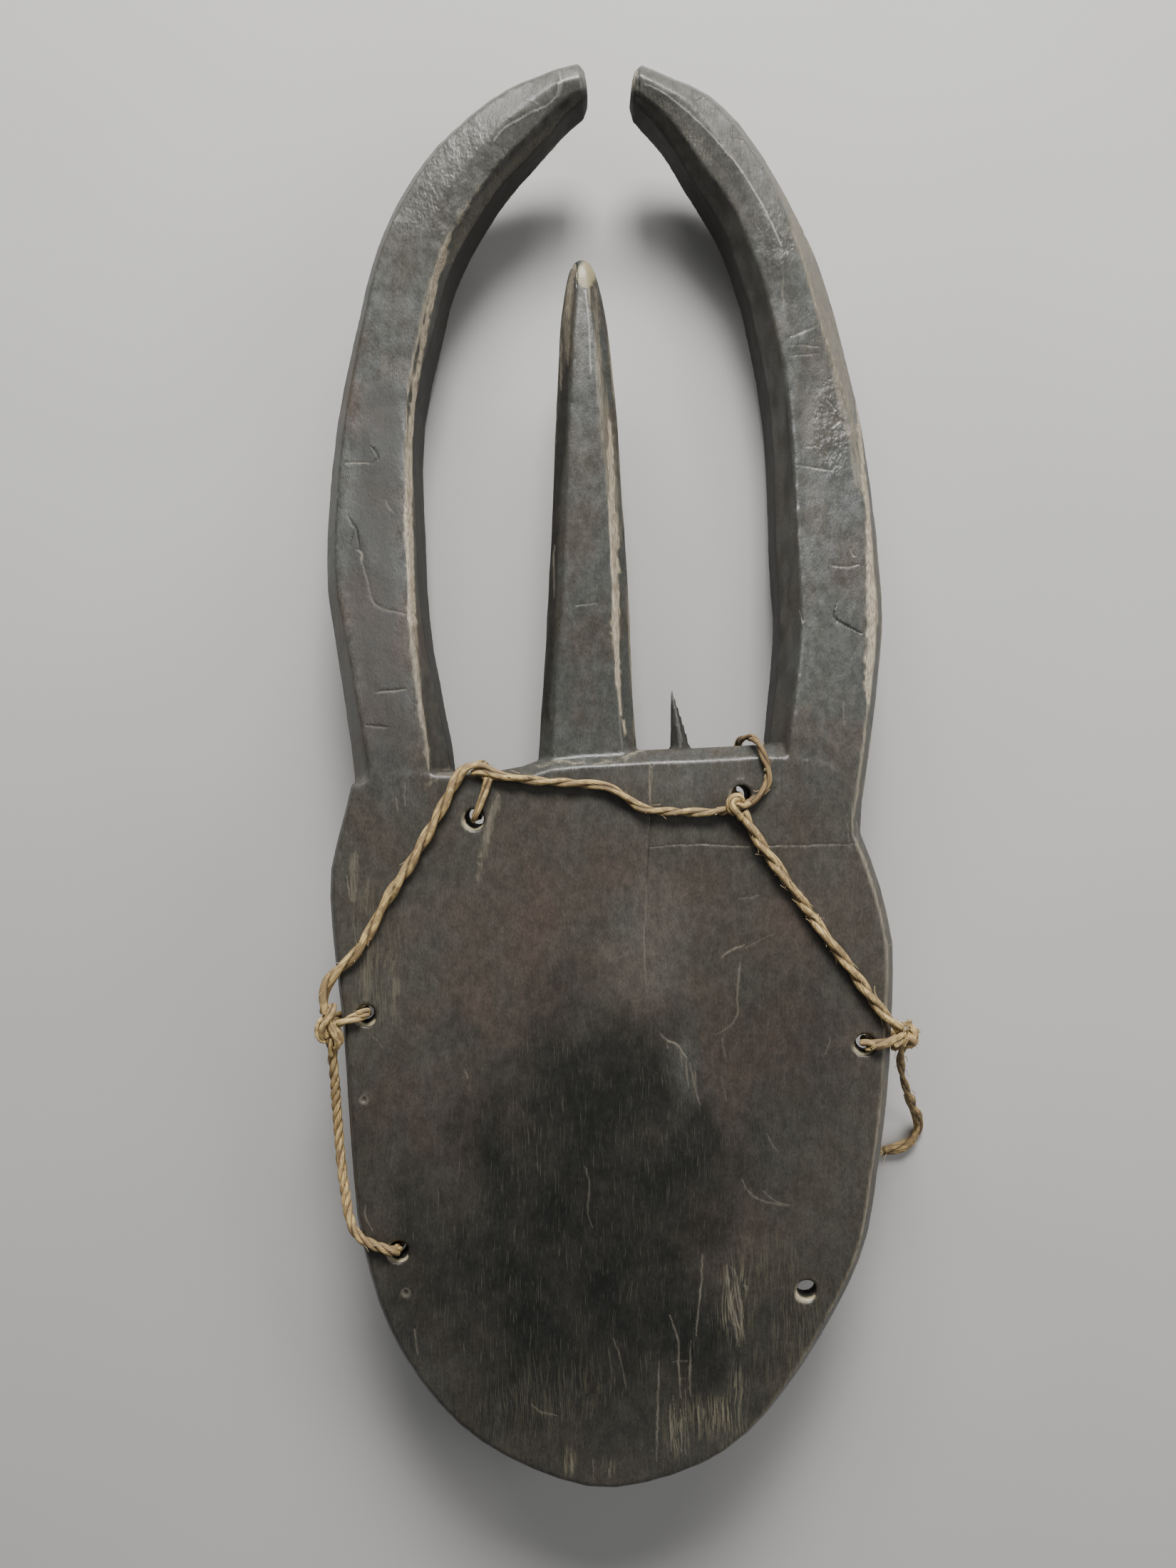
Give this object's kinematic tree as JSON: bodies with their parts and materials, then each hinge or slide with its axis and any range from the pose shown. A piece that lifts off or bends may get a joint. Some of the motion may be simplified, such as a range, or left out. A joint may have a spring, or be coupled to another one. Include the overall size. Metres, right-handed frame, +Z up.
{
  "type": "horned wooden face mask",
  "caption": "Carved dark wood face mask with big curved horns, a straight middle horn, a small spike, lacing holes and a knotted fibre cord, lying face down.",
  "frame": {"origin": "on the floor, under the middle of the carved mask's box", "axes": "+Z up out of the flat back, +Y from the chin to the tips of the horns, +X across the mask"},
  "size_m": [0.2828, 0.6314, 0.0733],
  "materials": {
    "dark_wood": "satin, dark patina with worn brown edges",
    "fibre": "dry twisted plant fibre"
  },
  "bodies": {
    "root": {"mask": "dark_wood", "lower_left_cord": "fibre", "main_cord": "fibre", "right_cord": "fibre", "tail_cord": "fibre", "left_ring_cord": "fibre", "right_ring_cord": "fibre", "upper_right_ring_cord": "fibre", "upper_left_ring_cord": "fibre", "left_knot": "fibre", "right_knot": "fibre", "upper_right_knot": "fibre", "stopper_knot": "fibre"}
  },
  "joints": []
}
